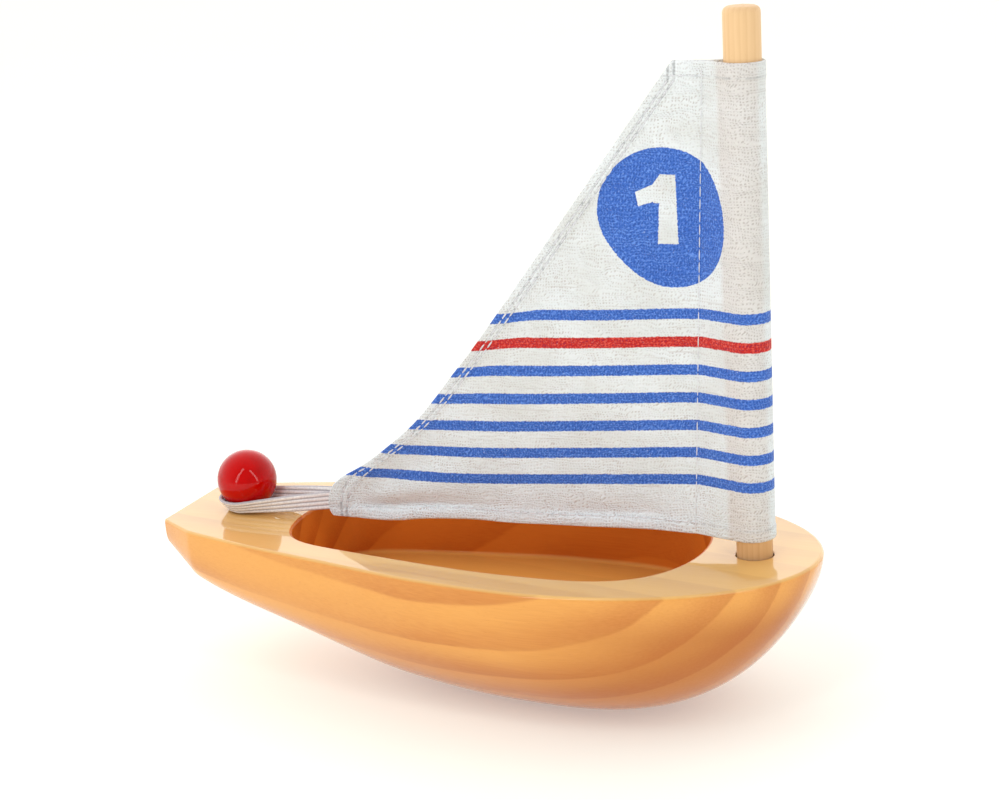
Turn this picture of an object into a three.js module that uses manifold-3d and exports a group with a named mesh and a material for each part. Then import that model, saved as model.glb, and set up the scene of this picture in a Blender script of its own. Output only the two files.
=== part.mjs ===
// A wooden toy sailing boat: a carved hull with a cockpit, a dowel mast, a cloth sail sleeved on the mast,
// and an elastic loop that holds the sail's clew to a bead on the stern deck.
// Millimetres. X runs from stern to bow, Y to port, Z up. Shapes are made with X from the transom and
// Z from the deck, then the whole boat is moved so that the origin is under its middle, on the floor.
import * as THREE from 'three';
import Module from 'manifold-3d';
import { mergeVertices } from 'three/addons/utils/BufferGeometryUtils.js';

const wasm = await Module();
wasm.setup();

// ---- driving dimensions ----
const GAP = 0.3; // clearance between pieces that touch

const LENGTH = 199.5;
const HALF_BEAM = 45.6;
const BEAM_AT = 126; // where the deck is widest
const BOW_POWER = 2.05; // roundness of the bow in plan
const KEEL_DEPTH = 46.8;
const KEEL_AT = 120; // where the keel is deepest
const KEEL_POWER = 0.68; // roundness of the stem
const FLAT_DEPTH = 46.2; // the sanded flat that the boat stands on
const DECK_STERN = [[0, 15.5], [6, 20.8], [22, 26.6], [64, 36.6], [102, 43.9], [BEAM_AT, HALF_BEAM]];
const KEEL_STERN = [[0, 10], [7, 16.4], [45, 31], [85, 43.7], [KEEL_AT, KEEL_DEPTH]];

// Superellipse power of the sections: round amidships, boxy at the transom, a little fuller at the bow.
const SECTION = { power: 2.2, boxyBefore: 90, transomExtra: 1.6, fullAfter: 120, bowExtra: 0.45 };

const COCKPIT = { aft: 40.9, fore: 166.2, half: 32.5, widestAt: 120, depth: 19.6 };
const COCKPIT_TAPER = 0.165; // loss of half-width per millimetre towards the stern
const COCKPIT_SHOULDER = 18; // length over which the taper sets in
const COCKPIT_POWERS = { fore: 3.6, aft: 16 }; // how square each end is in plan

const MAST = { x: 181, radius: 5, top: 150.5, seat: 22, chamfer: 1.2 };
const BALL = { x: 21, radius: 9, z: 9 + GAP };
const PEG = { radius: 2, seat: 10, intoBall: 9 };

const CLOTH = 1; // thickness of the hemmed cloth
const SLEEVE_RADIUS = 6.5;
const SEAM_X = 166.5; // the sleeve's seam
const HEAD = { z: 136.2, aft: 161.7 };
const CLEW = { x: 49, low: 0.5, high: 8 };
const CLEW_CORNER = 3;
const LEECH = [[53.4, 12.3], [62, 17.5], [69.5, 23], [78.4, 30.5], [85.4, 38.1], [105.6, 62.9]];
const FOOT = [[187.6, 5], [164, 4.2], [134, 3.4], [97, 2.6], [72, 1]];

const BAND = { width: 5.4, thick: 1, clewSpread: 1.3, clewZ: 5.4 };
const THREAD = 0.25; // half-thickness of a sewing thread
const SEAM_INSET = 1.5; // luff seam stitches from the seam
const LEECH_INSETS = { outer: 2.7, inner: 4.4 }; // stitch rows forwards of the leech
const HEAD_HEM = 4; // stitch row below the head
const FOOT_HEM = 3.6; // stitch row above the foot

// ---- fineness of the curves ----
const RING_STEPS = 26;
const STATIONS = 38;
const COCKPIT_STEPS = 72;
const TURN_STEPS = 32;
const BALL_STEPS = 16;
const BAND_STEPS = 20;
const OVERCUT = 5; // how far a cutting tool stands out of the deck

// ---- materials ----
const plain = (color, roughness) => new THREE.MeshStandardMaterial({ color, roughness, metalness: 0 });
const VARNISHED_PINE = plain(0xdd9a55, 0.25);
const BARE_DOWEL = plain(0xe6bd84, 0.5);
const RED_LACQUER = plain(0xc01515, 0.15);
const COTTON = plain(0xf0eeea, 0.9);
const ELASTIC = plain(0xeceaea, 0.7);
const THREAD_WHITE = plain(0xd9d9dc, 0.8);

// ---- helpers ----
const range = (count) => Array.from({ length: count + 1 }, (_, i) => i / count);

// Height at x of a smooth curve through the points, flat at the last one (monotone cubic pieces).
function smoothThrough(points, x) {
  const slope = (i) => (points[i + 1][1] - points[i][1]) / (points[i + 1][0] - points[i][0]);
  const last = points.length - 1;
  const tangent = (i) => {
    if (i === 0) return slope(0);
    if (i === last) return 0;
    return (2 * slope(i - 1) * slope(i)) / (slope(i - 1) + slope(i));
  };
  let i = 0;
  while (i < last - 1 && x > points[i + 1][0]) i += 1;
  const [x0, y0] = points[i];
  const [x1, y1] = points[i + 1];
  const h = x1 - x0;
  const t = Math.min(1, Math.max(0, (x - x0) / h));
  const rise = (3 - 2 * t) * t * t;
  return y0 + (y1 - y0) * rise + h * t * (1 - t) * ((1 - t) * tangent(i) - t * tangent(i + 1));
}

// A closed skin over a row of rings with equally many points, with a fan over each end ring.
function loft(rings) {
  const count = rings[0].length;
  const triangles = [];
  const add = (a, b, c) => triangles.push(...a.toArray(), ...b.toArray(), ...c.toArray());
  for (let r = 0; r < rings.length - 1; r += 1) {
    for (let k = 0; k < count; k += 1) {
      const next = (k + 1) % count;
      add(rings[r][k], rings[r + 1][k], rings[r + 1][next]);
      add(rings[r][k], rings[r + 1][next], rings[r][next]);
    }
  }
  const tail = rings[rings.length - 1];
  for (let k = 1; k < count - 1; k += 1) {
    add(rings[0][0], rings[0][k], rings[0][k + 1]);
    add(tail[0], tail[k + 1], tail[k]);
  }
  const geometry = new THREE.BufferGeometry();
  geometry.setAttribute('position', new THREE.Float32BufferAttribute(triangles, 3));
  return geometry;
}

function toSolid(geometry) {
  const bare = geometry.index ? geometry.toNonIndexed() : geometry.clone();
  bare.deleteAttribute('normal');
  bare.deleteAttribute('uv');
  const merged = mergeVertices(bare, 1e-4);
  const mesh = new wasm.Mesh({
    numProp: 3,
    vertProperties: merged.attributes.position.array,
    triVerts: new Uint32Array(merged.index.array),
  });
  return new wasm.Manifold(mesh);
}

function toGeometry(solid) {
  const { vertProperties, triVerts } = solid.getMesh();
  const geometry = new THREE.BufferGeometry();
  geometry.setAttribute('position', new THREE.BufferAttribute(vertProperties, 3));
  geometry.setIndex(new THREE.BufferAttribute(triVerts, 1));
  return geometry;
}

// A solid of revolution about the vertical line at x, from [radius, z] points read upwards outside.
function turned(x, profile) {
  const points = profile.map(([radius, z]) => new THREE.Vector2(radius, z));
  return new THREE.LatheGeometry(points, TURN_STEPS).rotateX(Math.PI / 2).translate(x, 0, 0);
}

// A plate cut to an outline in the XZ plane and centred on Y = 0.
function sidePlate(outline, thickness) {
  const shape = new THREE.Shape(outline.map(([x, z]) => new THREE.Vector2(x, z)));
  const plate = new THREE.ExtrudeGeometry(shape, { depth: thickness, bevelEnabled: false });
  return plate.rotateX(Math.PI / 2).translate(0, thickness / 2, 0);
}

function piece(name, geometry, material) {
  geometry.computeVertexNormals();
  const mesh = new THREE.Mesh(geometry, material);
  mesh.name = name;
  return mesh;
}

// ---- hull ----
function deckHalf(x) {
  if (x <= BEAM_AT) return smoothThrough(DECK_STERN, x);
  const t = (x - BEAM_AT) / (LENGTH - BEAM_AT);
  return HALF_BEAM * Math.sqrt(1 - t ** BOW_POWER);
}

function keelDepth(x) {
  if (x <= KEEL_AT) return smoothThrough(KEEL_STERN, x);
  const t = (x - KEEL_AT) / (LENGTH - KEEL_AT);
  return KEEL_DEPTH * (1 - t ** 3) ** KEEL_POWER;
}

function sectionPower(x) {
  const boxy = Math.max(0, 1 - x / SECTION.boxyBefore);
  const full = Math.max(0, (x - SECTION.fullAfter) / (LENGTH - SECTION.fullAfter));
  return SECTION.power + SECTION.transomExtra * boxy ** 2 + SECTION.bowExtra * full;
}

// Half a superellipse below the deck, from port to starboard.
function hullRing(x) {
  const power = sectionPower(x);
  return range(RING_STEPS).map((s) => {
    const angle = Math.PI * s;
    const y = Math.sign(Math.cos(angle)) * deckHalf(x) * Math.abs(Math.cos(angle)) ** (2 / power);
    const z = -keelDepth(x) * Math.abs(Math.sin(angle)) ** (2 / power);
    return new THREE.Vector3(x, y, Math.max(z, -FLAT_DEPTH));
  });
}

function cockpitHalf(x) {
  const { aft, fore, half, widestAt } = COCKPIT;
  const forward = (x - widestAt) / (fore - widestAt);
  if (forward > 0) return half * Math.sqrt(1 - forward ** COCKPIT_POWERS.fore);
  const run = Math.hypot(widestAt - x, COCKPIT_SHOULDER) - COCKPIT_SHOULDER;
  const straight = half - COCKPIT_TAPER * run;
  return straight * Math.sqrt(1 - ((widestAt - x) / (widestAt - aft)) ** COCKPIT_POWERS.aft);
}

function cockpitTool() {
  const { aft, fore, depth } = COCKPIT;
  const middle = (aft + fore) / 2;
  const reach = (fore - aft) / 2;
  const crowding = 0.6; // brings the points together at both ends, where the outline turns
  const edge = range(COCKPIT_STEPS).map((s) => {
    const angle = 2 * Math.PI * s;
    const x = middle + reach * Math.sign(Math.cos(angle)) * Math.abs(Math.cos(angle)) ** crowding;
    const y = Math.sign(Math.sin(angle)) * cockpitHalf(Math.min(fore, Math.max(aft, x)));
    return new THREE.Vector2(x, y);
  });
  edge.pop();
  const plan = new THREE.Shape(edge);
  const cut = new THREE.ExtrudeGeometry(plan, { depth: depth + OVERCUT, bevelEnabled: false });
  return toSolid(cut.translate(0, 0, -depth));
}

const holeTool = (x, radius, depth) =>
  toSolid(turned(x, [[0, -depth], [radius, -depth], [radius, OVERCUT], [0, OVERCUT]]));

function hullGeometry() {
  const closer = 0.9995; // the last ring is a hair short of the stem, so that it has an area
  const sternSpread = 1.15; // brings the first rings nearer the transom
  const stations = range(STATIONS).map(
    (s) => LENGTH * closer * Math.sin((s ** sternSpread * Math.PI) / 2));
  const block = toSolid(loft(stations.map(hullRing)));
  return toGeometry(
    block
      .subtract(cockpitTool())
      .subtract(holeTool(MAST.x, MAST.radius + GAP, MAST.seat + GAP))
      .subtract(holeTool(BALL.x, PEG.radius + GAP, PEG.seat + GAP)),
  );
}

// ---- mast, bead and peg ----
function mastGeometry() {
  const { x, radius, top, seat, chamfer } = MAST;
  const head = [[radius, top - chamfer], [radius - chamfer, top], [0, top]];
  return turned(x, [[0, -seat], [radius, -seat], ...head]);
}

// The bead has a blind bore from below for its peg.
function ballGeometry() {
  const { x, radius, z } = BALL;
  const bore = PEG.radius + GAP;
  const start = Math.asin(bore / radius);
  const skin = range(BALL_STEPS).map((s) => {
    const angle = start + (Math.PI - start) * s;
    return [radius * Math.sin(angle), z - radius * Math.cos(angle)];
  });
  skin[skin.length - 1][0] = 0;
  const roof = PEG.intoBall + GAP;
  return turned(x, [[0, roof], [bore, roof], ...skin]);
}

function pegGeometry() {
  const { radius, seat, intoBall } = PEG;
  return turned(BALL.x, [[0, -seat], [radius, -seat], [radius, intoBall], [0, intoBall]]);
}

// ---- sail ----
const sailOutline = () => [
  ...FOOT,
  [CLEW.x + CLEW_CORNER, CLEW.low],
  [CLEW.x, CLEW.low + CLEW_CORNER],
  [CLEW.x, CLEW.high],
  ...LEECH,
  [HEAD.aft, HEAD.z],
  [MAST.x + SLEEVE_RADIUS + 1, HEAD.z],
];

// Plan of the sail: a flat panel from the clew, whose two layers part at the seam and close round the mast.
function sleevePlan() {
  const half = CLOTH / 2;
  const wrap = (radius, apex) => Math.PI - Math.acos(radius / (MAST.x - apex));
  const outerTurn = wrap(SLEEVE_RADIUS, SEAM_X);
  const plan = new THREE.Shape();
  plan.moveTo(CLEW.x - 5, half);
  plan.lineTo(CLEW.x - 5, -half);
  plan.lineTo(SEAM_X, -half);
  plan.absarc(MAST.x, 0, SLEEVE_RADIUS, -outerTurn, outerTurn, false);
  plan.lineTo(SEAM_X, half);
  const innerRadius = SLEEVE_RADIUS - CLOTH;
  const apex = SEAM_X + 2 * CLOTH;
  const innerTurn = wrap(innerRadius, apex);
  const tunnel = new THREE.Path();
  tunnel.absarc(MAST.x, 0, innerRadius, -innerTurn, innerTurn, false);
  tunnel.lineTo(apex, 0);
  plan.holes.push(tunnel);
  return plan;
}

// The plan drawn up as a tall tube, cut to the sail's side outline.
function sailGeometry() {
  const spare = 5;
  const tall = { depth: HEAD.z + 2 * spare, curveSegments: TURN_STEPS / 2, bevelEnabled: false };
  const tube = new THREE.ExtrudeGeometry(sleevePlan(), tall).translate(0, 0, -spare);
  const side = sidePlate(sailOutline(), 4 * SLEEVE_RADIUS);
  return toGeometry(toSolid(tube).intersect(toSolid(side)));
}

// A thread laid on the starboard face of the sail, along [x, z] points.
function threadGeometry(route) {
  const y = -(CLOTH / 2 + GAP + THREAD);
  const corners = [[-1, -1], [1, -1], [1, 1], [-1, 1]];
  const rings = route.map(([x, z], i) => {
    const [x0, z0] = route[Math.max(0, i - 1)];
    const [x1, z1] = route[Math.min(route.length - 1, i + 1)];
    const run = Math.hypot(x1 - x0, z1 - z0);
    const side = [-(z1 - z0) / run, (x1 - x0) / run];
    return corners.map(([a, b]) =>
      new THREE.Vector3(x + a * THREAD * side[0], y + b * THREAD, z + a * THREAD * side[1]));
  });
  return loft(rings);
}

// From the clew, where the row holds the elastic's ends, along the leech to just under the head hem.
function leechRow(inset) {
  const [x0, z0] = LEECH[LEECH.length - 1];
  const top = HEAD.z - HEAD_HEM - 8 * THREAD;
  const lean = (HEAD.aft - x0) / (HEAD.z - z0);
  const end = [HEAD.aft - lean * (HEAD.z - top), top];
  return [[CLEW.x + 2, CLEW.low + CLEW_CORNER], ...LEECH, end].map(([x, z]) => [x + inset, z]);
}

const luffRow = () => [[SEAM_X - SEAM_INSET, 6], [SEAM_X - SEAM_INSET, HEAD.z - 2]];
const headRow = () => [[HEAD.aft - 2, HEAD.z - HEAD_HEM], [SEAM_X - 2 * SEAM_INSET, HEAD.z - HEAD_HEM]];
const footRow = () => FOOT.slice(1).reverse().map(([x, z]) => [x - 2, z + FOOT_HEM]);

// ---- elastic loop ----
// Plan of the flat band, from one side of the clew round the bead's far side and back.
function bandPlan() {
  const radius = BALL.radius + BAND.thick / 2;
  const end = CLEW.x - GAP;
  const lean = Math.acos((radius - BAND.clewSpread) / (end - BALL.x));
  const around = range(BAND_STEPS).map((s) => {
    const angle = lean + (2 * Math.PI - 2 * lean) * s;
    return [BALL.x + radius * Math.cos(angle), radius * Math.sin(angle)];
  });
  return [[end, BAND.clewSpread], ...around, [end, -BAND.clewSpread]];
}

// The band stands on edge, just over the deck at the bead, and rises to the clew.
function bandHeight(x) {
  const atBall = GAP + BAND.width / 2;
  const rise = Math.max(0, (x - BALL.x) / (CLEW.x - BALL.x));
  return atBall + (BAND.clewZ - atBall) * rise;
}

function bandGeometry() {
  const route = bandPlan();
  const rings = route.map(([x, y], i) => {
    const [x0, y0] = route[Math.max(0, i - 1)];
    const [x1, y1] = route[Math.min(route.length - 1, i + 1)];
    const run = Math.hypot(x1 - x0, y1 - y0);
    const side = [(y1 - y0) / run, -(x1 - x0) / run];
    const z = bandHeight(x);
    return [[-1, -1], [1, -1], [1, 1], [-1, 1]].map(([a, b]) =>
      new THREE.Vector3(
        x + (a * side[0] * BAND.thick) / 2,
        y + (a * side[1] * BAND.thick) / 2,
        z + (b * BAND.width) / 2,
      ));
  });
  return loft(rings);
}

// ---- the boat ----
const boat = new THREE.Group();
boat.position.set(-LENGTH / 2, 0, FLAT_DEPTH);
boat.add(
  piece('hull', hullGeometry(), VARNISHED_PINE),
  piece('mast', mastGeometry(), BARE_DOWEL),
  piece('stern_ball', ballGeometry(), RED_LACQUER),
  piece('ball_peg', pegGeometry(), BARE_DOWEL),
  piece('sail', sailGeometry(), COTTON),
  piece('elastic_loop', bandGeometry(), ELASTIC),
  piece('luff_seam_thread', threadGeometry(luffRow()), THREAD_WHITE),
  piece('leech_outer_thread', threadGeometry(leechRow(LEECH_INSETS.outer)), THREAD_WHITE),
  piece('leech_inner_thread', threadGeometry(leechRow(LEECH_INSETS.inner)), THREAD_WHITE),
  piece('head_hem_thread', threadGeometry(headRow()), THREAD_WHITE),
  piece('foot_hem_thread', threadGeometry(footRow()), THREAD_WHITE),
);

export default boat;
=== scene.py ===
"""Looks of a wooden toy sailing boat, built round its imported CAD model.

Shapes are written in boat millimetres: X from the transom to the bow, Y to port, Z from the deck.
place() moves them into the frame that the CAD model uses, in metres.
"""

import math

import bmesh
import bpy
import numpy as np
from mathutils import Matrix, Vector


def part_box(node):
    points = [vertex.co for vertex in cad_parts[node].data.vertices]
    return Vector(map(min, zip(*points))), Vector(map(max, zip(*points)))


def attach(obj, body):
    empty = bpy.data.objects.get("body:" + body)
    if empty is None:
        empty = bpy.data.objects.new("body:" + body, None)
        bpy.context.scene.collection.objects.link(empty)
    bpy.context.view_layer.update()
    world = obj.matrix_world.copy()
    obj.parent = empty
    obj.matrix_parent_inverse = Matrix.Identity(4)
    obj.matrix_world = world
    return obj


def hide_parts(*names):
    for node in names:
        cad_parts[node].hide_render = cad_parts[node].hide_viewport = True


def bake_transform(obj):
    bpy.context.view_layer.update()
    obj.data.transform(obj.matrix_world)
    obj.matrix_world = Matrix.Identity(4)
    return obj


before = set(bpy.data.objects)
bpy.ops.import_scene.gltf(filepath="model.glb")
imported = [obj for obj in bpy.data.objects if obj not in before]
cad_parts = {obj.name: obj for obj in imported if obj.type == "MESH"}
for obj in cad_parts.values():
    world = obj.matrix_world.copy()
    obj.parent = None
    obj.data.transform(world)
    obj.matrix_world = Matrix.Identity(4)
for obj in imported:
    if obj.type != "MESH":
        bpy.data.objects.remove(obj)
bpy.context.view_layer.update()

MM = 0.001
hull_low, hull_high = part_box("hull")
ORIGIN = np.array([hull_low.x, (hull_low.y + hull_high.y) / 2, hull_high.z])

# ---- driving dimensions, in boat millimetres ----
LENGTH = 199.5
HALF_BEAM = 45.6
BEAM_AT = 126
BOW_POWER = 2.05
KEEL_DEPTH = 46.8
KEEL_AT = 120
FLAT_DEPTH = 46.2
DECK_STERN = [(0, 15.5), (6, 20.8), (22, 26.6), (64, 36.6), (102, 43.9), (BEAM_AT, HALF_BEAM)]
KEEL_STERN = [(0, 10), (7, 16.4), (45, 31), (85, 43.7), (KEEL_AT, KEEL_DEPTH)]
EDGE_ROUND = 1.0  # deck edge
TRANSOM_ROUND = 0.8
TRANSOM_SLOPE = 0.8  # how fast the half-beam grows right at the transom
KEEL_POWER = 3  # a higher power keeps the keel deep for longer towards the bow
KEEL_FULLNESS = 0.68
MIDDLE_SQUARENESS = 2.2  # power of the hull's section, which is an ellipse at 2
STERN_SQUARENESS = 1.6  # added at the transom, and fading out over STERN_RUN
STERN_RUN = 90
BOW_SQUARENESS = 0.45  # added for each BOW_RUN forwards of the deepest place
BOW_RUN = 80
NUDGE = 0.01  # half the distance between the two points that give a slope

COCKPIT_AFT = 40.9
COCKPIT_FORE = 166.2
COCKPIT_HALF = 32.5
COCKPIT_WIDEST = 120
COCKPIT_DEPTH = 19.6
COCKPIT_TAPER = 0.165
COCKPIT_EASE = 18  # the sides bend into their taper over about this length
COCKPIT_FORE_POWER = 3.6
COCKPIT_AFT_POWER = 16
RIM_ROUND = 0.8
FLOOR_ROUND = 1.4
ABOVE_DECK = 4  # how far the cutters stand out of the deck
HOLE_CHAMFER = 0.25

MAST_X = 181
MAST_RADIUS = 5
MAST_TOP = 150.5
MAST_TOP_ROUND = 1.7
MAST_CROWN = 0.2  # the end is slightly domed
MAST_FOOT_CHAMFER = 0.6
MAST_SEAT = 22
BALL_X = 21
BALL_RADIUS = 9.0
BALL_Z = 9.3
PEG_RADIUS = 2
PEG_SEAT = 10
CLEARANCE = 0.3
CORE = 0.3  # a turned shape's flat ends keep this radius instead of a point

CLOTH = 0.5
SLEEVE_RADIUS = 5.6
SEAM_X = 166.5
SEAM_LEAN = 0.045  # the seam runs nearer the mast towards the head
SEAM_LEVEL = 40  # the height at which the seam is at SEAM_X
HEAD_Z = 136.2
HEAD_AFT = 161.7
STRAIGHT_FROM = (105.6, 62.9)  # the leech runs straight from here to the head
CLEW_AND_LEECH = [
    (52.4, 0.2), (50.4, 0.4), (49.2, 1.7), (48.7, 3.8), (49.2, 6.9), (50.6, 9.9), (53.4, 12.4),
    (57.4, 14.7), (62.0, 17.4), (69.5, 23.0), (78.4, 30.5), (85.4, 38.1), (91.6, 45.7),
    STRAIGHT_FROM, (HEAD_AFT, HEAD_Z),
]
FOOT = [
    (52.4, 0.2), (58, 0.2), (64, 0.1), (71, 0.4), (79, 1.5), (88, 2.3), (97, 3.0), (109, 3.0), (122, 3.5),
    (134, 3.9), (150, 4.7), (164, 4.5), (181, 5.2), (190, 5.4),
]
CLEW_TOP = 15  # the folded clew ends here
OUTER_ROW = [(53.2, 4.6), (54.0, 8.0), (56.5, 12.2), (60.0, 15.0), (64.4, 17.4)]
INNER_ROW = [(54.9, 3.2), (55.4, 5.2), (56.5, 8.4), (59.2, 11.8), (62.6, 14.6), (66.2, 17.6)]
FOOT_ROW = 3.4  # the row of stitches above the foot
HEAD_ROW = 4  # the row of stitches below the head
OUTER_INSET = 2.7  # the rows of stitches above the clew, forwards of the leech
INNER_INSET = 4.4
ROWS_FOLLOW_FROM = 20  # above this height the rows follow the leech
ROWS_END = 5  # they end this far below the head
EDGE_SHARE = 0.004  # the share of the sail's height and width that its rounded edges take
EDGE_THIN = 0.12  # the share of the thickness that is left at the very edge
FLAP = 3.5  # width of the sleeve's flap, sewn behind the panel

BAND_WIDTH = 4.6
BAND_WIDER = 0.8  # added at the clew
BAND_THICK = 1.0
BAND_RADIUS = 7.4  # of the loop round the bead
BAND_END = 49.7
BAND_SPREAD = 0.42  # half the gap between its two ends
BAND_LOW = 2.5  # height of its middle at the bead
BAND_RISE = 2.6  # from the bead to the clew
FAR_SIDE_RISE = 1.35  # added on the far side at the clew
BAND_RUN = 29  # from the bead's middle to the clew
BAND_SLANT = 38  # degrees, where it leans against the bead
RIBS = 4

HEART = (-150, 80)  # y and z of the tree's middle, beside the boat and above it
RINGS = 10.4  # spacing of the growth rings
RING_LEAN = -0.17  # sideways run of the grain for each millimetre forwards

STRIPES = 7
RED_STRIPE = 1  # counted from the top, which is 0
TOP_STRIPE = 68.2
STRIPE_PITCH = 7.85
EMBLEM = (157.6, 93.9)
EMBLEM_RADIUS = 19.0
EMBLEM_LOBES = ((225, -2.4), (318, 1.3), (62, 0.4))  # degrees, and what the radius gains there
FIGURE_SHIFT = 0.6
WEAVE_PITCH = 0.88

# ---- camera ----
AZIMUTH = 24.1975
ELEVATION = 16.0158
ROLL = -3.3131
LENS = 79.2
SENSOR = 36
AIM = (106.6, 0, 39.7)
DISTANCE = 626.35

# ---- studio ----
DIM_SIDE = (0.4, -0.85, 0.35)  # the room's darker side, towards the front and the bow
DIM_LEVEL = 0.33
BRIGHT_LEVEL = 1.85
DIM_RANGE = (-0.7, 0.85)  # cosine to DIM_SIDE where the dimming starts and where it is complete
FLOOR_REACH = 6.0
FLOOR_GLOW = 0.32
LIT = (-0.03, 0, 0.05)  # the point that the lights face
LIGHTS = [  # name, lower end, upper end, width, power, whether reflections show it
    ("key", (-0.95, -0.55, 0.9), (-0.45, -1.05, 1.5), 0.9, 4.6, False),
    ("strip_left", (-0.39, -1.26, 0.1), (0.1, -0.65, 1.17), 0.14, 3.7, True),
    ("strip_right", (1.16, -0.4, 0.1), (0.54, -0.55, 1.06), 0.12, 2.7, True),
]


def place(points):
    return np.asarray(points, float) * MM + ORIGIN


def srgb(red, green, blue):
    """Linear colour of an 8-bit display colour."""
    values = [channel / 255 for channel in (red, green, blue)]
    return tuple(v / 12.92 if v <= 0.04045 else ((v + 0.055) / 1.055) ** 2.4 for v in values) + (1.0,)


# ---- curves ----
def smooth_through(points, x):
    """Height at x of a smooth curve through the points, flat at the last one."""
    xs, ys = np.array(points, float).T
    slopes = np.diff(ys) / np.diff(xs)
    tangents = [slopes[0]]
    for before, after in zip(slopes[:-1], slopes[1:]):
        tangents.append(2 * before * after / (before + after))
    tangents.append(0)
    x = np.asarray(x, float)
    i = np.clip(np.searchsorted(xs, x) - 1, 0, len(slopes) - 1)
    step = np.diff(xs)[i]
    t = np.clip((x - xs[i]) / step, 0, 1)
    tangents = np.array(tangents)
    rise = (3 - 2 * t) * t * t
    bend = step * t * (1 - t) * ((1 - t) * tangents[i] - t * tangents[i + 1])
    return ys[i] + (ys[i + 1] - ys[i]) * rise + bend


def rounded_line(points, per_span=16):
    """Points of a Catmull-Rom curve through the points."""
    p = np.array(points, float)
    p = np.vstack([2 * p[0] - p[1], p, 2 * p[-1] - p[-2]])
    t = np.arange(per_span)[:, None] / per_span
    spans = []
    for a, b, c, d in zip(p, p[1:], p[2:], p[3:]):
        spans.append(b + 0.5 * t * (c - a + t * (2 * a - 5 * b + 4 * c - d + t * (3 * (b - c) + d - a))))
    return np.vstack([*spans, p[-2:-1]])


def smooth_step(low, high, value):
    t = np.clip((value - low) / (high - low), 0, 1)
    return t * t * (3 - 2 * t)


# ---- mesh building ----
def loft(rings, wrap=True, caps=True):
    """Points and faces of a skin over a row of rings with equally many points."""
    count = len(rings[0])
    across = count if wrap else count - 1
    faces = []
    for r in range(len(rings) - 1):
        for k in range(across):
            after = (k + 1) % count
            faces.append((r * count + k, r * count + after, (r + 1) * count + after, (r + 1) * count + k))
    if caps:
        last = (len(rings) - 1) * count
        faces.append(tuple(range(count - 1, -1, -1)))
        faces.append(tuple(range(last, last + count)))
    return np.concatenate(rings), faces


def piece(name, shape, sharp_degrees=40):
    points, faces = shape
    mesh = bpy.data.meshes.new(name)
    mesh.from_pydata(place(points).tolist(), [], faces)
    work = bmesh.new()
    work.from_mesh(mesh)
    bmesh.ops.recalc_face_normals(work, faces=work.faces)
    work.to_mesh(mesh)
    work.free()
    made = bpy.data.objects.new(name, mesh)
    bpy.context.scene.collection.objects.link(made)
    shade_smooth(mesh, sharp_degrees)
    return made


def shade_smooth(mesh, sharp_degrees):
    mesh.polygons.foreach_set("use_smooth", [True] * len(mesh.polygons))
    mesh.set_sharp_from_angle(angle=math.radians(sharp_degrees))


def turned(x, profile, segments=72):
    """A solid of revolution about the vertical line at x, from (radius, z) points read upwards outside."""
    angles = np.arange(segments) * 2 * math.pi / segments
    rings = []
    for radius, z in profile:
        xs = x + radius * np.cos(angles)
        ys = radius * np.sin(angles)
        rings.append(np.stack([xs, ys, np.full(segments, z)], 1))
    return loft(rings)


def cut(target, cutter):
    """Takes the cutter away from the target's mesh, and removes the cutter."""
    modifier = target.modifiers.new("cut", "BOOLEAN")
    modifier.operation = "DIFFERENCE"
    modifier.solver = "EXACT"
    modifier.object = cutter
    graph = bpy.context.evaluated_depsgraph_get()
    mesh = bpy.data.meshes.new_from_object(target.evaluated_get(graph))
    target.modifiers.clear()
    target.data = mesh
    bpy.data.objects.remove(cutter)


def even_normals(target):
    modifier = target.modifiers.new("normals", "WEIGHTED_NORMAL")
    modifier.keep_sharp = True
    modifier.weight = 80


# ---- hull ----
def deck_half(x):
    t = np.clip((x - BEAM_AT) / (LENGTH - BEAM_AT), 0, 1)
    return np.where(x <= BEAM_AT, smooth_through(DECK_STERN, x), HALF_BEAM * np.sqrt(1 - t**BOW_POWER))


def keel_depth(x):
    t = np.clip((x - KEEL_AT) / (LENGTH - KEEL_AT), 0, 1)
    bow = KEEL_DEPTH * (1 - t**KEEL_POWER) ** KEEL_FULLNESS
    return np.where(x <= KEEL_AT, smooth_through(KEEL_STERN, x), bow)


def section_power(x):
    """Power of the section's superellipse: squarest at the transom, and a little squarer again at the bow."""
    stern = max(0, 1 - x / STERN_RUN) ** 2
    bow = max(0, (x - KEEL_AT) / BOW_RUN)
    return MIDDLE_SQUARENESS + STERN_SQUARENESS * stern + BOW_SQUARENESS * bow


def deck_slope(x):
    if x <= NUDGE:
        return TRANSOM_SLOPE
    return float((deck_half(x + NUDGE) - deck_half(x - NUDGE)) / (2 * NUDGE))


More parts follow.
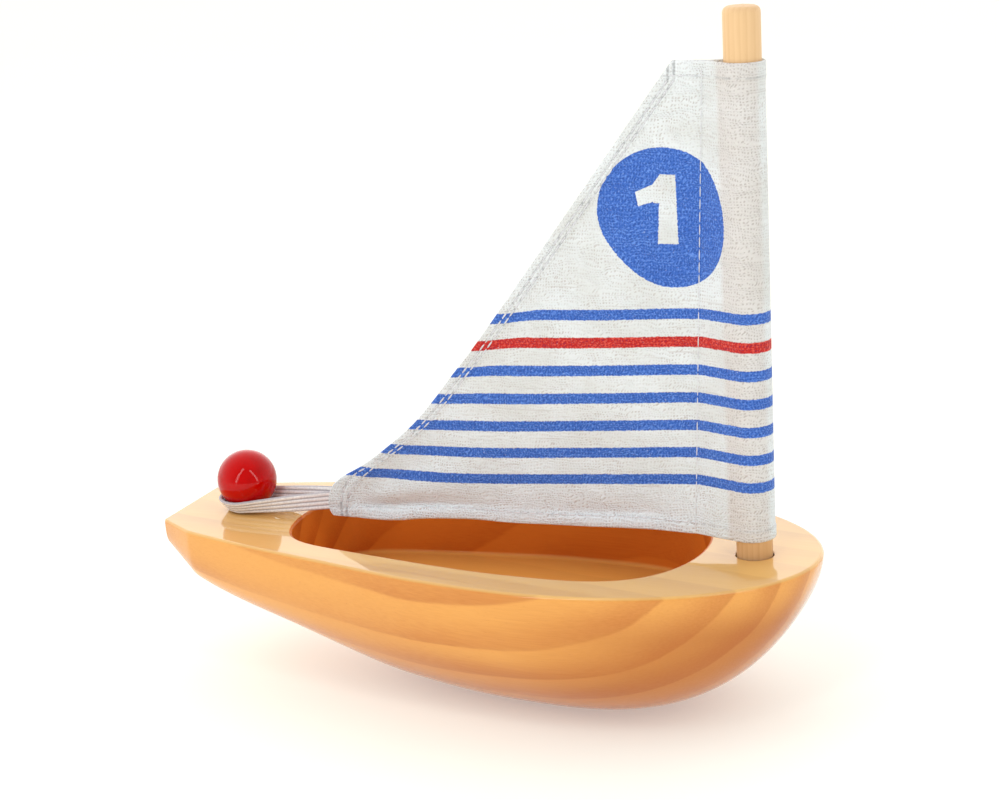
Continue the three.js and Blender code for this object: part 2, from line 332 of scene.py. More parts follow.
def hull_ring(x):
    """Half a superellipse below the deck, with a rounded deck edge and a rounded transom edge."""
    half = float(deck_half(x))
    keel = float(keel_depth(x))
    power = section_power(x)
    edge = min(EDGE_ROUND, keel / 2)
    turn = np.linspace(0, math.pi / 2, 7)
    upper = edge * (1 - np.cos(turn))
    start = math.asin((edge / keel) ** (power / 2))
    angles = np.linspace(start, math.pi / 2, 40)[1:]
    depth = np.concatenate([upper, keel * np.sin(angles) ** (2 / power)])
    width = half * np.maximum(0, 1 - (depth / keel) ** power) ** (1 / power)
    near = np.clip(EDGE_ROUND - depth, 0, EDGE_ROUND)
    inset = EDGE_ROUND - np.sqrt(EDGE_ROUND**2 - near**2)
    slope = deck_slope(x)
    run = math.hypot(slope, 1)
    xs = x + inset * slope / run
    ys = np.maximum(width - inset / run, 0.02)
    zs = -np.minimum(depth, FLAT_DEPTH)
    port = np.stack([xs, ys, zs], 1)
    starboard = (port * (1, -1, 1))[-2::-1]
    ring = np.vstack([port, starboard])
    if x < TRANSOM_ROUND:
        pull = TRANSOM_ROUND - math.sqrt(TRANSOM_ROUND**2 - (TRANSOM_ROUND - x) ** 2)
        ring[:, 1] *= 1 - pull / half
        ring[:, 2] = -keel / 2 + (ring[:, 2] + keel / 2) * (1 - 2 * pull / keel)
        ring[:, 0] = x
    return ring


def hull_block():
    """The hull before its cuts, from sections that stand closer together towards the bow."""
    crowding = 1.15
    tip = 0.99996  # the last section stops just short of the bow's point
    transom = TRANSOM_ROUND * (1 - np.cos(np.linspace(0, math.pi / 2, 6)[:-1]))
    along = np.linspace(0.06, 1, 150)
    body = LENGTH * tip * np.sin(along**crowding * math.pi / 2)
    stations = np.concatenate([transom, body[body > TRANSOM_ROUND * 1.2]])
    return loft([hull_ring(x) for x in stations])


def cockpit_half(x):
    fore = np.clip((x - COCKPIT_WIDEST) / (COCKPIT_FORE - COCKPIT_WIDEST), 0, 1)
    aft = np.clip((COCKPIT_WIDEST - x) / (COCKPIT_WIDEST - COCKPIT_AFT), 0, 1)
    tapered = COCKPIT_HALF - COCKPIT_TAPER * (np.hypot(COCKPIT_WIDEST - x, COCKPIT_EASE) - COCKPIT_EASE)
    fore_half = COCKPIT_HALF * np.sqrt(1 - fore**COCKPIT_FORE_POWER)
    aft_half = tapered * np.sqrt(1 - aft**COCKPIT_AFT_POWER)
    return np.where(x > COCKPIT_WIDEST, fore_half, aft_half)


def even_loop(points, spacing):
    """A closed loop resampled to evenly spaced points."""
    closed = np.vstack([points, points[:1]])
    along = np.concatenate([[0], np.cumsum(np.hypot(*np.diff(closed, axis=0).T))])
    count = int(along[-1] / spacing)
    at = np.arange(count) * along[-1] / count
    return np.stack([np.interp(at, along, closed[:, 0]), np.interp(at, along, closed[:, 1])], 1)


def cockpit_loop():
    """The cockpit's outline, from points that crowd towards both ends and are then spaced evenly."""
    crowding = 0.6
    angle = np.linspace(0, math.pi, 900)
    middle = (COCKPIT_AFT + COCKPIT_FORE) / 2
    reach = (COCKPIT_FORE - COCKPIT_AFT) / 2
    x = middle + reach * np.sign(np.cos(angle)) * np.abs(np.cos(angle)) ** crowding
    port = np.stack([x, cockpit_half(x)], 1)
    return even_loop(np.vstack([port, (port * (1, -1))[-2:0:-1]]), 1.0)


def cockpit_cutter():
    """The cockpit's space, with a rounded rim and a rounded edge round its floor."""
    loop = cockpit_loop()
    tangent = np.roll(loop, -1, 0) - np.roll(loop, 1, 0)
    outward = np.stack([tangent[:, 1], -tangent[:, 0]], 1) / np.hypot(*tangent.T)[:, None]
    steps = np.linspace(0, math.pi / 2, 6)
    levels = []
    for t in steps:
        offset = -FLOOR_ROUND + FLOOR_ROUND * math.sin(t)
        levels.append((offset, -COCKPIT_DEPTH + FLOOR_ROUND * (1 - math.cos(t))))
    for t in steps:
        levels.append((RIM_ROUND * (1 - math.cos(t)), RIM_ROUND * (math.sin(t) - 1)))
    levels.append((RIM_ROUND, ABOVE_DECK))
    rings = []
    for offset, z in levels:
        plan = loop + outward * offset
        rings.append(np.column_stack([plan, np.full(len(plan), z)]))
    return loft(rings)


def hole_cutter(x, radius, depth):
    mouth = radius + HOLE_CHAMFER
    return turned(x, [(radius, -depth), (radius, -HOLE_CHAMFER), (mouth, 0), (mouth, ABOVE_DECK)])


def make_hull():
    hull = piece("hull_carved", hull_block())
    cockpit = piece("cockpit_space", cockpit_cutter())
    cockpit.data.polygons.foreach_set("material_index", [1] * len(cockpit.data.polygons))
    cut(hull, cockpit)
    cut(hull, piece("mast_hole", hole_cutter(MAST_X, MAST_RADIUS + CLEARANCE, MAST_SEAT + CLEARANCE)))
    cut(hull, piece("peg_hole", hole_cutter(BALL_X, PEG_RADIUS + CLEARANCE, PEG_SEAT + CLEARANCE)))
    shade_smooth(hull.data, 40)
    even_normals(hull)
    return hull


# ---- mast and bead ----
def make_mast():
    crown = [(1.6, MAST_TOP), (CORE, MAST_TOP)]
    foot = [(MAST_RADIUS - MAST_FOOT_CHAMFER, -MAST_SEAT), (MAST_RADIUS, -MAST_SEAT + MAST_FOOT_CHAMFER)]
    top = []
    for t in np.linspace(0, math.pi / 2, 8):
        radius = MAST_RADIUS - MAST_TOP_ROUND * (1 - math.cos(t))
        top.append((radius, MAST_TOP - MAST_CROWN - MAST_TOP_ROUND * (1 - math.sin(t))))
    return piece("mast_dowel", turned(MAST_X, [*foot, *top, *crown]), 50)


def make_bead():
    """The bead, with a bore for its peg that ends at the bead's middle."""
    bore = PEG_RADIUS + CLEARANCE
    start = math.asin((bore + 0.3) / BALL_RADIUS)
    skin = []
    for a in np.linspace(start, math.pi - 0.02, 64):
        skin.append((BALL_RADIUS * math.sin(a), BALL_Z - BALL_RADIUS * math.cos(a)))
    inside = [(CORE, BALL_Z), (bore, BALL_Z), (bore, skin[0][1] + 0.2)]
    return piece("bead", turned(BALL_X, [*inside, *skin], 96), 60)


# ---- sail ----
def leech_row(start, inset):
    """A row of stitches that curves down through the clew and follows the leech above it."""
    above = [(x + inset, z) for x, z in CLEW_AND_LEECH if ROWS_FOLLOW_FROM < z < HEAD_Z]
    lean = (HEAD_AFT - STRAIGHT_FROM[0]) / (HEAD_Z - STRAIGHT_FROM[1])
    last = (HEAD_AFT - ROWS_END * lean + inset, HEAD_Z - ROWS_END)
    return rounded_line([*start, *above, last], 24)


leech_line = rounded_line(CLEW_AND_LEECH)
foot_line = rounded_line(FOOT)
outer_row = leech_row(OUTER_ROW, OUTER_INSET)
inner_row = leech_row(INNER_ROW, INNER_INSET)


def seam_x(z):
    return SEAM_X + SEAM_LEAN * (z - SEAM_LEVEL)


def leech_x(z):
    return np.interp(z, leech_line[:, 1], leech_line[:, 0])


def foot_z(x):
    return np.interp(x, foot_line[:, 0], foot_line[:, 1])


def row_x(row, z):
    return np.interp(z, row[:, 1], row[:, 0])


def sail_y(x, z):
    """Sideways place of the sail's middle: belly, trough above the hem, pulls from the clew, wavy foot."""
    belly_depth, trough_depth, pull_depth, wave_depth = 1.6, 1.3, 0.4, 0.5
    free = smooth_step(SEAM_X, 140, x) * smooth_step(0, 32, x - leech_x(z))
    belly = -belly_depth * free * np.sin(np.pi * np.clip(z / HEAD_Z, 0, 1)) ** 0.7
    above_hem = z - foot_z(x) - 4.2
    reach = np.where(above_hem > 0, 3.4, 1.1)
    trough = np.exp(-((above_hem / reach) ** 2)) * smooth_step(54, 64, x)
    trough *= smooth_step(165, 130, x) * (0.55 + 0.45 * np.cos((x - 72) / 13))
    from_clew = np.hypot(x - 50, z - 4)
    angle = np.arctan2(z - 2, x - 47)
    pulls = pull_depth * np.sin(angle * 15 + 0.8)
    pulls *= smooth_step(8, 20, from_clew)
    pulls *= smooth_step(80, 25, from_clew)
    wave = wave_depth * np.sin(x / 9.5) * np.exp(-np.clip(z, 0, None) / 7) * smooth_step(SEAM_X - 6, 140, x)
    return belly + trough_depth * trough + pulls + wave * smooth_step(75, 95, x)


def sail_thickness(x, z):
    """Cloth is doubled in the hems and the folded clew, and drawn in along the stitches."""
    from_foot = z - foot_z(x)
    hem = np.maximum.reduce([
        smooth_step(1.4, 0.8, x - row_x(inner_row, z)),
        smooth_step(HEAD_Z - 5.2, HEAD_Z - 4.6, z),
        smooth_step(4.3, 3.7, from_foot),
    ])
    clew = smooth_step(59, 55, x) * smooth_step(CLEW_TOP, 12, z)
    gathers = 0.75 + 0.25 * np.sin(2 * np.pi * (x + z) / 3.4)
    drawn = np.maximum.reduce([
        np.exp(-(((x - row_x(outer_row, z)) / 0.6) ** 2)),
        np.exp(-(((x - row_x(inner_row, z)) / 0.6) ** 2)),
        np.exp(-(((HEAD_Z - HEAD_ROW - z) / 0.5) ** 2)),
        np.exp(-(((from_foot - FOOT_ROW) / 0.5) ** 2)),
    ])
    return CLOTH + (0.65 + 1.1 * clew) * hem - (0.5 + 0.3 * clew) * hem * drawn * gathers


def sleeve_plan(seam):
    """Plan of the cloth from the seam round the mast and back, with the flap sewn behind the panel."""
    lean = math.acos(SLEEVE_RADIUS / (MAST_X - seam))
    angles = np.linspace(-(math.pi - lean), math.pi - lean, 44)
    arc = np.stack([MAST_X + SLEEVE_RADIUS * np.cos(angles), SLEEVE_RADIUS * np.sin(angles)], 1)
    flap_y = CLOTH + 0.1
    out = np.linspace((seam, 0), arc[0], 12)[1:-1]
    back = np.linspace(arc[-1], (seam + 1, flap_y), 12)[1:]
    flap = np.array([(seam - 0.5, flap_y), (seam - 2, flap_y), (seam - FLAP, flap_y)])
    return np.vstack([out, arc, back, flap])


def edge_steps(length, rim, spacing):
    """Distances from one edge to the other: fine steps in both rims, even steps between."""
    fine = rim * (1 - np.cos(np.linspace(0, math.pi / 2, 5)))
    middle = np.linspace(rim, length - rim, max(4, int((length - 2 * rim) / spacing)))
    return np.concatenate([fine[:-1], middle, length - fine[-2::-1]])


def sail_grid():
    """Middle points, thickness and cloth coordinates of the sail, row by row from foot to head."""
    rows = edge_steps(1.0, EDGE_SHARE, 0.0052)
    columns = edge_steps(1.0, EDGE_SHARE, 0.0046)
    points, thickness, cloth = [], [], []
    foot_start = CLEW_AND_LEECH[0]
    for v in rows:
        seam = seam_x(HEAD_Z * v)
        plan = sleeve_plan(seam)
        wrap = np.cumsum(np.hypot(*np.diff(np.vstack([[seam, 0], plan]), axis=0).T))
        left_z = foot_start[1] + (HEAD_Z - foot_start[1]) * v
        left_x = leech_x(left_z)
        x_foot = foot_start[0] + (seam - foot_start[0]) * columns
        x_head = CLEW_AND_LEECH[-1][0] + (seam - CLEW_AND_LEECH[-1][0]) * columns
        x = (1 - v) * x_foot + v * x_head
        straight_left = (1 - v) * foot_start[0] + v * CLEW_AND_LEECH[-1][0]
        x = x + (1 - columns) * (left_x - straight_left)
        z = foot_z(x_foot) + (HEAD_Z - foot_z(x_foot)) * v
        sleeve_z = foot_z(plan[:, 0]) + (HEAD_Z - foot_z(plan[:, 0])) * v
        y = sail_y(x, z)
        sleeve_y = plan[:, 1] + sail_y(seam, z[-1])
        panel = np.column_stack([x, y, z])
        sleeve = np.column_stack([plan[:, 0], sleeve_y, sleeve_z])
        points.append(np.vstack([panel, sleeve]))
        sleeve_x = seam + wrap
        edge_v = min(v, 1 - v) / EDGE_SHARE
        rim_v = math.sqrt(max(0.0, 1 - (1 - min(1, edge_v)) ** 2))
        edge_u = np.minimum(1, columns / EDGE_SHARE)
        rim_u = np.concatenate([np.sqrt(1 - (1 - edge_u) ** 2), np.ones(len(plan))])
        rim_u[-3:] = (1.0, 0.8, 0.1)  # the flap thins out to its edge
        hems = np.concatenate([sail_thickness(x, z), CLOTH + 0.45 * sleeve_hem(sleeve_z, plan[:, 0])])
        thickness.append(hems * np.maximum(EDGE_THIN, rim_v) * np.maximum(EDGE_THIN, rim_u))
        flat_x = np.concatenate([x, sleeve_x])
        flat_z = np.concatenate([z, sleeve_z])
        cloth.append(np.column_stack([flat_x, flat_z, flat_z + print_droop(flat_x, flat_z)]))
    return np.array(points), np.array(thickness), np.array(cloth)


def print_droop(x, z):
    """How far the stripes sag below level: more towards the leech, and most at its very edge."""
    up = smooth_step(25, 66, z)
    sag = 6.2 * smooth_step(187, 68, x) * (1 - 0.26 * up)
    curl = 1.2 * up * smooth_step(14, 0, x - leech_x(z))
    return (sag + curl) * smooth_step(112, 76, z)


def sleeve_hem(z, x):
    return np.maximum(smooth_step(HEAD_Z - 5.0, HEAD_Z - 4.5, z), smooth_step(4.1, 3.6, z - foot_z(x)))


def make_sail():
    points, thickness, cloth = sail_grid()
    across = np.gradient(points, axis=1)
    up = np.gradient(points, axis=0)
    normal = np.cross(across, up)
    normal /= np.linalg.norm(normal, axis=2, keepdims=True)
    front = points + normal * thickness[..., None] / 2
    back = points - normal * thickness[..., None] / 2
    rows, count = thickness.shape
    rings = [np.vstack([front[r], back[r][::-1]]) for r in range(rows)]
    sail = piece("sail_cotton", loft(rings), 60)
    layout = sail.data.attributes.new("cloth", "FLOAT_VECTOR", "POINT")
    both = [np.vstack([cloth[r], cloth[r][::-1]]) for r in range(rows)]
    flat = np.concatenate(both)
    layout.data.foreach_set("vector", flat.ravel())
    x, z = flat[:, 0], flat[:, 1]
    # Distances to the stitch rows and hems, which place the painted shade along them.
    from_rows = sail.data.attributes.new("rows", "FLOAT_VECTOR", "POINT")
    nearest_hem = np.minimum(np.abs(z - foot_z(x) - FOOT_ROW), np.abs(HEAD_Z - HEAD_ROW - z))
    away = np.column_stack([x - row_x(outer_row, z), x - row_x(inner_row, z), nearest_hem])
    from_rows.data.foreach_set("vector", away.ravel())
    wrong_side = sail.data.attributes.new("wrong_side", "FLOAT", "POINT")
    wrong_side.data.foreach_set("value", np.tile(np.repeat([0.0, 1.0], count), rows))
    return sail


# ---- stitches ----
def capsule(start, end, radius):
    """A short thread between two points, round in section, with sunk ends."""
    start, end = np.array(start, float), np.array(end, float)
    axis = end - start
    length = np.linalg.norm(axis)
    axis /= length
    side = np.cross(axis, (0, 1, 0))
    side /= np.linalg.norm(side)
    lift = np.cross(side, axis)
    rings = []
    for t in np.linspace(0, 1, 7):
        girth = radius * max(0.25, math.sin(math.pi * t) ** 0.35)
        angles = np.arange(8) * math.pi / 4
        centre = start + axis * length * t
        rings.append(centre + girth * (np.cos(angles)[:, None] * side + np.sin(angles)[:, None] * lift))
    return loft(rings)


def joined(shapes):
    points, faces, start = [], [], 0
    for shape_points, shape_faces in shapes:
        points.append(shape_points)
        faces += [tuple(i + start for i in face) for face in shape_faces]
        start += len(shape_points)
    return np.concatenate(points), faces


def on_sail(x, z, side):
    """A point on the sail's face. side is -1 for starboard and 1 for port."""
    flap = CLOTH * 1.1 if side > 0 and x > seam_x(z) - FLAP else 0
    return np.array([x, sail_y(x, z) + side * (sail_thickness(x, z) / 2 + 0.04) + flap, z])


def make_stitches(name, route, pitch, length, radius):
    """Stitches along a route of (x, z) points, on both faces of the sail."""
    line = np.array(route, float)
    along = np.concatenate([[0], np.cumsum(np.hypot(*np.diff(line, axis=0).T))])
    count = int(along[-1] / pitch)
    shapes = []
    for i in range(count):
        for side in (-1, 1):
            middle = (i + 0.5 + 0.5 * (side > 0)) * along[-1] / count
            ends = [max(0, middle - length / 2), min(along[-1], middle + length / 2)]
            x0, x1 = np.interp(ends, along, line[:, 0])
            z0, z1 = np.interp(ends, along, line[:, 1])
            if math.hypot(x1 - x0, z1 - z0) > length / 2:
                shapes.append(capsule(on_sail(x0, z0, side), on_sail(x1, z1, side), radius))
    return piece(name, joined(shapes), 60)


# ---- elastic ----
def band_centre():
    """Plan of the elastic's middle line: clew, round the bead's far side, and back to the clew."""
    lean = math.acos((BAND_RADIUS - BAND_SPREAD) / (BAND_END - BALL_X))
    angles = np.linspace(lean, 2 * math.pi - lean, 60)
    around = np.stack([BALL_X + BAND_RADIUS * np.cos(angles), BAND_RADIUS * np.sin(angles)], 1)
    out = np.linspace((BAND_END, BAND_SPREAD), around[0], 24)[:-1]
    back = np.linspace(around[-1], (BAND_END, -BAND_SPREAD), 24)[1:]
    return np.vstack([out, around, back])


def band_section():
    """Half-widths and half-thicknesses round the elastic's section, with ribs on both faces."""
    across = np.linspace(-1, 1, RIBS * 8 + 1)
    relief = 0.55 + 0.45 * np.abs(np.sin(np.pi * (across + 1) * RIBS / 2))
    outer = np.stack([across, relief], 1)
    return np.vstack([outer, (outer * (1, -1))[::-1]])


def make_elastic():
    line = band_centre()
    tangent = np.gradient(line, axis=0)
    tangent /= np.hypot(*tangent.T)[:, None]
    outward = np.stack([-tangent[:, 1], tangent[:, 0]], 1)
    outward *= np.where(np.sum(outward * (line - (BALL_X, 0)), 1) < 0, -1, 1)[:, None]
    section = band_section()
    rings = []
    for (x, y), (nx, ny) in zip(line, outward):
        ahead = x - BALL_X
        rise = np.clip(ahead / BAND_RUN, 0, 1)
        z = BAND_LOW + BAND_RISE * rise + FAR_SIDE_RISE * smooth_step(0, BAND_RUN, ahead) * (y > 0)
        width = BAND_WIDTH + BAND_WIDER * rise
        thick = BAND_THICK * (1 - 0.3 * smooth_step(22, 28, ahead))
        slant = math.radians(BAND_SLANT) * (1 - smooth_step(-4, 22, ahead))
        up = np.array([nx * math.sin(slant), ny * math.sin(slant), math.cos(slant)])
        out = np.array([nx * math.cos(slant), ny * math.cos(slant), -math.sin(slant)])
        centre = np.array([x, y, z])
        rings.append(centre + section[:, :1] * up * width / 2 + section[:, 1:] * out * thick / 2)
    band = piece("elastic_band", loft(rings), 75)
    # The ribs' relief, which places the painted shade in the grooves.
    relief = band.data.attributes.new("relief", "FLOAT", "POINT")
    relief.data.foreach_set("value", np.tile(np.abs(section[:, 1]), len(rings)))
    return band


# ---- materials ----
class Graph:
    """Short calls that build a material's nodes."""

    def __init__(self, name):
        self.material = bpy.data.materials.new(name)
        self.material.use_nodes = True
        self.nodes = self.material.node_tree.nodes
        self.links = self.material.node_tree.links
        self.shader = self.nodes["Principled BSDF"]

    def feed(self, socket, value):
        if isinstance(value, bpy.types.NodeSocket):
            self.links.new(value, socket)
        else:
            socket.default_value = value

    def node(self, kind, inputs=(), output=0, **settings):
        made = self.nodes.new("ShaderNode" + kind)
        for key, value in settings.items():
            setattr(made, key, value)
        for key, value in dict(inputs).items():
            self.feed(made.inputs[key], value)
        return made.outputs[output]

    def math(self, operation, *values):
        return self.node("Math", enumerate(values), operation=operation)

    def mix(self, share, first, second):
        return self.node("Mix", {0: share, 6: first, 7: second}, output=2, data_type="RGBA")

    def step(self, value, low, high, start=0.0, end=1.0):
        numbers = {0: value, 1: low, 2: high, 3: start, 4: end}
        return self.node("MapRange", numbers, interpolation_type="SMOOTHSTEP")

    def noise(self, vector, scale=1.0, detail=2.0, roughness=0.5):
        numbers = {"Vector": vector, "Scale": scale, "Detail": detail, "Roughness": roughness}
        return self.node("TexNoise", numbers)

    def boat(self):
        """The surface point in boat millimetres."""
        at = self.node("TexCoord", output="Object")
        scale = (1 / MM,) * 3
        return self.node("Mapping", {"Vector": at, "Scale": scale, "Location": tuple(-ORIGIN / MM)})

    def stretched(self, vector, x, y, z):
        return self.node("Mapping", {"Vector": vector, "Scale": (x, y, z)})

    def split(self, vector):
        made = self.nodes.new("ShaderNodeSeparateXYZ")
        self.links.new(vector, made.inputs[0])
        return made.outputs

    def bump(self, height, distance, strength=1.0):
        numbers = {"Height": height, "Distance": distance * MM, "Strength": strength}
        self.links.new(self.node("Bump", numbers), self.shader.inputs["Normal"])

    def finish(self, colour, **numbers):
        self.feed(self.shader.inputs["Base Color"], colour)
        for key, value in numbers.items():
            self.feed(self.shader.inputs[key.replace("_", " ")], value)
        return self.material


def wood(name, light, dark, heart, lean, spacing, contrast, streaks, rough, upright=False):
    """Wood with growth rings about a line through heart that leans in plan, and with fine grain and pores."""
    g = Graph(name)
    at = g.boat()
    if upright:
        at = g.node("Mapping", {"Vector": at, "Rotation": (0, math.pi / 2, 0)})
    wander = g.noise(g.stretched(at, 0.005, 0.012, 0.012), detail=1.0)
    ripple = g.noise(g.stretched(at, 0.02, 0.09, 0.09), detail=2.0)
    x, y, z = g.split(at)
    off_y = g.math("SUBTRACT", g.math("MULTIPLY_ADD", g.math("SUBTRACT", x, KEEL_AT), -lean, y), heart[0])
    off_z = g.math("SUBTRACT", z, heart[1])
    away = g.math("SQRT", g.math("ADD", g.math("MULTIPLY", off_y, off_y), g.math("MULTIPLY", off_z, off_z)))
    away = g.math("MULTIPLY_ADD", g.math("SUBTRACT", wander, 0.5), spacing * 0.8, away)
    away = g.math("MULTIPLY_ADD", g.math("SUBTRACT", ripple, 0.5), spacing * 0.2, away)
    ring = g.math("FRACT", g.math("DIVIDE", away, spacing))
    late = g.math("MULTIPLY", g.step(ring, 0.1, 0.9), g.step(ring, 1.0, 0.93))
    strength = g.step(g.noise(g.stretched(at, 0.012, 0.05, 0.05), detail=1.0), 0.3, 0.7, 0.5, 1.0)
    grain = g.noise(g.stretched(at, 0.06, 2.2, 2.2), detail=3.0)
    patch = g.noise(g.stretched(at, 0.015, 0.05, 0.05), detail=2.0)
    share = g.math("MULTIPLY", g.math("MULTIPLY", late, strength), contrast)
    share = g.math("MULTIPLY_ADD", g.math("SUBTRACT", grain, 0.5), streaks, share)
    share = g.math("MULTIPLY_ADD", g.math("SUBTRACT", patch, 0.5), 0.5, share)
    colour = g.mix(g.step(share, -0.25, 1.0), light, dark)
    pores = g.noise(g.stretched(at, 0.45, 3.2, 3.2), detail=1.0)
    pores = g.step(pores, 0.66, 0.8)
    colour = g.mix(g.math("MULTIPLY", pores, 0.25), colour, dark)
    g.bump(g.math("ADD", grain, g.math("MULTIPLY", pores, -0.6)), 0.05, 0.2)
    roughness = g.step(grain, 0.3, 0.7, rough, rough + 0.08)
    return g, colour, roughness


def varnished(g, colour, roughness, coat):
    numbers = {"Specular_IOR_Level": 0.1, "Coat_Weight": coat, "Coat_Roughness": 0.03, "Coat_IOR": 1.41}
    return g.finish(colour, Roughness=roughness, **numbers)


def outside_pine():
    """Pine: paler on the deck, a painted reflection; deeper in colour low on the sides and at the bow,
    painted shade.
    """
    light, dark = srgb(234, 165, 80), srgb(186, 100, 28)
    g, colour, roughness = wood("varnished_pine", light, dark, HEART, RING_LEAN, RINGS, 0.5, 0.35, 0.4)
    x, _, z = g.split(g.boat())
    # Painted shade: the sides are painted deeper in colour towards the bottom, and at the bow below the deck
    # edge.
    low = g.step(z, -14.0, -42.0, 0.0, 0.85)
    bow = g.math("MULTIPLY", g.step(x, 110.0, 185.0, 0.0, 0.95), g.step(z, -1.0, -14.0))
    painted_shade = g.math("MINIMUM", g.math("ADD", low, bow), 0.95)
    colour = g.mix(painted_shade, colour, g.mix(0.3, srgb(168, 86, 12), colour))
    # Painted reflection: the deck is painted pale cream, as its varnish looks when it reflects the white room
    # at a low angle.
    deck = g.step(z, -0.9, -0.2, 0.0, 0.55)
    colour = g.mix(deck, colour, srgb(222, 190, 122))
    return varnished(g, colour, roughness, 1.0)


def inside_pine():
    """The cockpit: walls deeper in colour as painted shade in the recess, and a floor painted paler as
    painted light.
    """
    # The walls' darker pine is painted shade in the cockpit's recess.
    light, dark = srgb(214, 120, 40), srgb(178, 80, 18)
    g, colour, roughness = wood("cockpit_pine", light, dark, HEART, RING_LEAN, RINGS, 0.6, 0.35, 0.4)
    _, _, z = g.split(g.boat())
    # Painted light: the floor is painted paler, for the light and reflections from the sail and walls that
    # fall on it.
    floor = g.step(z, -COCKPIT_DEPTH + 1.4, -COCKPIT_DEPTH + 0.2, 0.0, 0.6)
    colour = g.mix(floor, colour, srgb(222, 164, 84))
    return varnished(g, colour, roughness, 0.15)


def dowel():
    light, dark = srgb(226, 188, 140), srgb(206, 160, 108)
    g, colour, roughness = wood("bare_dowel", light, dark, (40, 160), 0, 1.5, 0.3, 0.6, 0.5, upright=True)
    return g.finish(colour, Roughness=roughness)


def lacquer():
    g = Graph("red_lacquer")
    at = g.boat()
    patch = g.noise(g.stretched(at, 0.12, 0.12, 0.12), detail=3.0)
    colour = g.mix(g.step(patch, 0.35, 0.65), srgb(190, 3, 3), srgb(176, 2, 2))
    orange_peel = g.noise(g.stretched(at, 0.7, 0.7, 0.7), detail=2.0)
    g.bump(orange_peel, 0.02, 0.3)
    roughness = g.step(patch, 0.3, 0.7, 0.05, 0.08)
    return g.finish(colour, Roughness=roughness, Specular_IOR_Level=0.22)


def polygon(g, x, z, corners):
    """Signed distance to a convex polygon whose corners run anticlockwise."""
    distance = None
    for (x0, z0), (x1, z1) in zip(corners, corners[1:] + corners[:1]):
        run = math.hypot(x1 - x0, z1 - z0)
        nx, nz = (z1 - z0) / run, -(x1 - x0) / run
        side = g.math("MULTIPLY_ADD", x, nx, g.math("MULTIPLY_ADD", z, nz, -(nx * x0 + nz * z0)))
        distance = side if distance is None else g.math("MAXIMUM", distance, side)
    return distance


def numeral(g, x, z):
    """Signed distance to the figure 1: a stem, and a flag in two pieces."""
    stem = polygon(g, x, z, [(155.6, 86.9), (161.3, 86.9), (161.0, 105.8), (156.8, 105.8)])
    flag = polygon(g, x, z, [(150.4, 97.1), (156.5, 98.9), (156.6, 103.9), (149.6, 100.9)])
    shoulder = polygon(g, x, z, [(154.6, 98), (158, 98), (158, 105.8), (156.7, 105.8), (154.6, 103.1)])
    return g.math("MINIMUM", stem, g.math("MINIMUM", flag, shoulder))


def emblem(g, x, z):
    """Signed distance to a round patch, flattened beside the leech and full at the lower front."""
    dx = g.math("SUBTRACT", x, EMBLEM[0])
    dz = g.math("SUBTRACT", z, EMBLEM[1])
    away = g.math("SQRT", g.math("ADD", g.math("MULTIPLY", dx, dx), g.math("MULTIPLY", dz, dz)))
    radius = None
    for degrees, extra in EMBLEM_LOBES:
        a = math.radians(degrees)
        toward = g.math("ADD", g.math("MULTIPLY", dx, math.cos(a)), g.math("MULTIPLY", dz, math.sin(a)))
        toward = g.math("MAXIMUM", g.math("DIVIDE", toward, g.math("MAXIMUM", away, 0.1)), 0.0)
        term = g.math("MULTIPLY", g.math("POWER", toward, 5.0), extra)
        radius = term if radius is None else g.math("ADD", radius, term)
    return g.math("SUBTRACT", g.math("SUBTRACT", away, EMBLEM_RADIUS), radius)


def weave(g, layout, x, level):
    """Crossing threads: their height, and the gaps between them, from 0 on a thread to 1 in a hole."""
    slub_x = g.noise(g.stretched(layout, 0.9, 0.06, 1), detail=2.0)
    slub_z = g.noise(g.stretched(layout, 0.06, 0.9, 1), detail=2.0)
    drift = g.math("MULTIPLY", g.noise(layout, 0.16, detail=3.0), 5.0)
    warp_at = g.math("ADD", g.math("DIVIDE", x, WEAVE_PITCH), drift)
    weft_at = g.math("ADD", g.math("DIVIDE", level, WEAVE_PITCH), drift)
    warp_wave = g.math("SINE", g.math("MULTIPLY", warp_at, math.pi))
    weft_wave = g.math("SINE", g.math("MULTIPLY", weft_at, math.pi))
    warp = g.math("MULTIPLY", g.math("ABSOLUTE", warp_wave), g.step(slub_x, 0.3, 0.7, 0.7, 1.1))
    weft = g.math("MULTIPLY", g.math("ABSOLUTE", weft_wave), g.step(slub_z, 0.3, 0.7, 0.7, 1.1))
    threads = g.math("MAXIMUM", warp, weft)
    height = g.math("MULTIPLY_ADD", g.math("MULTIPLY", warp_wave, weft_wave), 0.18, threads)
    uneven = g.step(g.noise(layout, 0.75, detail=3.0), 0.3, 0.7, -0.24, 0.24)
    return height, g.step(g.math("ADD", threads, uneven), 0.66, 0.3)


def printed(g, layout, x, z, level):
    """Shares of blue and red ink: level stripes, one of them red, and the round patch round its figure."""
    fray = g.noise(layout, 1.3, detail=2.0)
    fray = g.math("MULTIPLY", g.math("SUBTRACT", fray, 0.5), 0.55)
    frayed_x = g.math("ADD", x, fray)
    frayed_z = g.math("ADD", z, fray)
    frayed_level = g.math("ADD", level, fray)
    blue, red = None, None
    for i in range(STRIPES):
        away = g.math("ABSOLUTE", g.math("SUBTRACT", frayed_level, TOP_STRIPE - STRIPE_PITCH * i))
        line = g.step(away, 1.62, 1.34)
        if i == RED_STRIPE:
            red = line
        else:
            blue = line if blue is None else g.math("MAXIMUM", blue, line)
    patch = g.step(emblem(g, frayed_x, frayed_z), 0.12, -0.12)
    figure = g.step(numeral(g, g.math("SUBTRACT", frayed_x, FIGURE_SHIFT), frayed_z), -0.1, 0.1)
    return g.math("MAXIMUM", blue, g.math("MULTIPLY", patch, figure)), red


